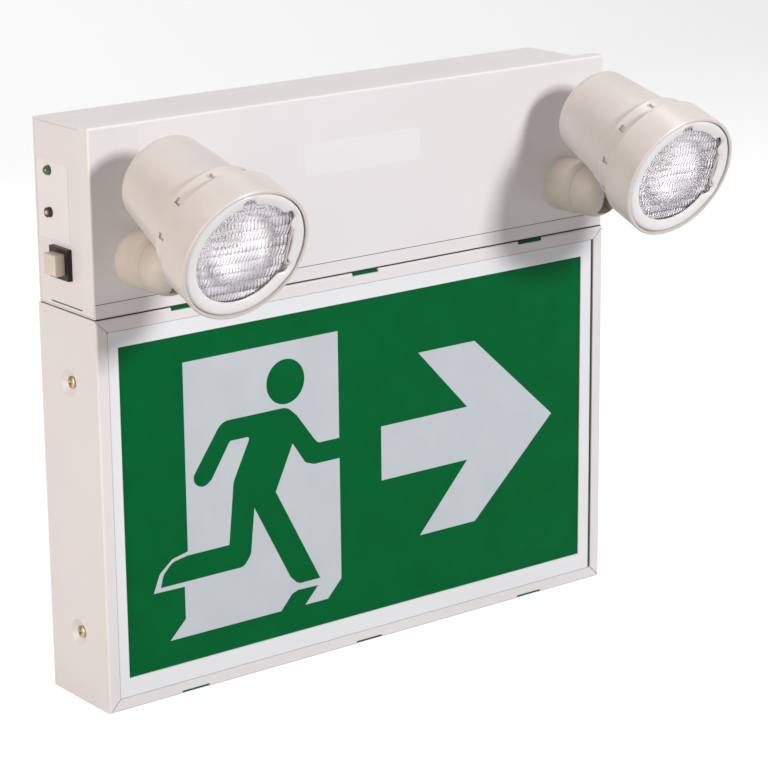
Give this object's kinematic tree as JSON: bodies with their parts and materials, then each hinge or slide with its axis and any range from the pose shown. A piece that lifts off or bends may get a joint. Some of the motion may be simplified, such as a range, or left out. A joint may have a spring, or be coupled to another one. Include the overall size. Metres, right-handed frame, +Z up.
{
  "type": "emergency exit light",
  "caption": "Lit exit sign in a flat sheet-steel box, under a battery unit with two aimable round lamp heads, a push-to-test button and two indicators.",
  "frame": {"origin": "centre of the two wall-box screw holes in the sign box's back plate, on the face that lies against the wall", "axes": "+Y points into the wall (the lit front faces -Y), +Z is up and +X is along the width, to the right of someone who faces the sign"},
  "size_m": [0.345, 0.1558, 0.3],
  "materials": {
    "cream_paint": "satin",
    "white_face": "satin",
    "legend": "satin",
    "plated_steel": "satin",
    "spring_steel": "satin",
    "led": "gloss",
    "label": "satin",
    "circuit_board": "satin",
    "black_plastic": "satin",
    "beige_plastic": "satin",
    "core": "matte",
    "green_lens": "gloss",
    "amber_lens": "gloss",
    "collar_plastic": "satin",
    "head_plastic": "satin",
    "clear_lens": "gloss",
    "reflector_plating": "polished",
    "socket_plastic": "matte",
    "lamp_glass": "gloss"
  },
  "bodies": {
    "housing": {"sign_frame": "cream_paint", "face_frame": "white_face", "legend_panel": "legend", "sign_back": "cream_paint", "side_screws": "plated_steel", "sign_leds": "led", "unit_case": "cream_paint", "end_panel": "cream_paint", "unit_cover": "cream_paint", "cover_label": "label", "indicator_plate": "label", "indicator_board": "circuit_board", "test_switch": "black_plastic", "button_spring": "spring_steel", "battery": "black_plastic", "battery_tabs": "plated_steel", "battery_strap": "plated_steel", "board_standoffs": "plated_steel", "charger_board": "circuit_board", "transformer": "core", "board_parts": "black_plastic", "terminal_block": "black_plastic", "join_bolts": "plated_steel", "join_nuts": "plated_steel", "wire_bushing": "black_plastic", "led_strip_top": "circuit_board", "led_strip_bottom": "circuit_board", "power_indicator": "green_lens", "fault_indicator": "amber_lens", "left_collar": "collar_plastic", "left_collar_nut": "collar_plastic", "right_collar": "collar_plastic", "right_collar_nut": "collar_plastic"},
    "left_knuckle_body": {"left_knuckle": "collar_plastic", "left_pivot_pin": "plated_steel", "left_retaining_ring": "spring_steel"},
    "left_head": {"left_head_shell": "head_plastic", "left_head_neck": "head_plastic", "left_bezel": "head_plastic", "left_lens": "clear_lens", "left_reflector": "reflector_plating", "left_socket": "socket_plastic", "left_lamp": "lamp_glass", "left_lens_clip": "head_plastic"},
    "right_knuckle_body": {"right_knuckle": "collar_plastic", "right_pivot_pin": "plated_steel", "right_retaining_ring": "spring_steel"},
    "right_head": {"right_head_shell": "head_plastic", "right_head_neck": "head_plastic", "right_bezel": "head_plastic", "right_lens": "clear_lens", "right_reflector": "reflector_plating", "right_socket": "socket_plastic", "right_lamp": "lamp_glass", "right_lens_clip": "head_plastic"},
    "test_button_body": {"test_button": "beige_plastic"}
  },
  "joints": [
    {"name": "left_swivel", "type": "hinge", "parent": "housing", "child": "left_knuckle_body", "pos_m": [-0.1375, -0.0765, 0.13], "axis": [0, 1, 0], "range_deg": [-170, 170]},
    {"name": "left_tilt", "type": "hinge", "parent": "left_knuckle_body", "child": "left_head", "pos_m": [-0.1375, -0.0765, 0.13], "axis": [1, 0, 0], "range_deg": [-20, 65]},
    {"name": "right_swivel", "type": "hinge", "parent": "housing", "child": "right_knuckle_body", "pos_m": [0.1375, -0.0765, 0.13], "axis": [0, 1, 0], "range_deg": [-170, 170]},
    {"name": "right_tilt", "type": "hinge", "parent": "right_knuckle_body", "child": "right_head", "pos_m": [0.1375, -0.0765, 0.13], "axis": [1, 0, 0], "range_deg": [-20, 65]},
    {"name": "test_press", "type": "slide", "parent": "housing", "child": "test_button_body", "axis": [1, 0, 0], "range_m": [0, 0.003], "stiffness_N_per_m": 600, "springref_m": -0.001, "deforming": ["button_spring"]}
  ]
}
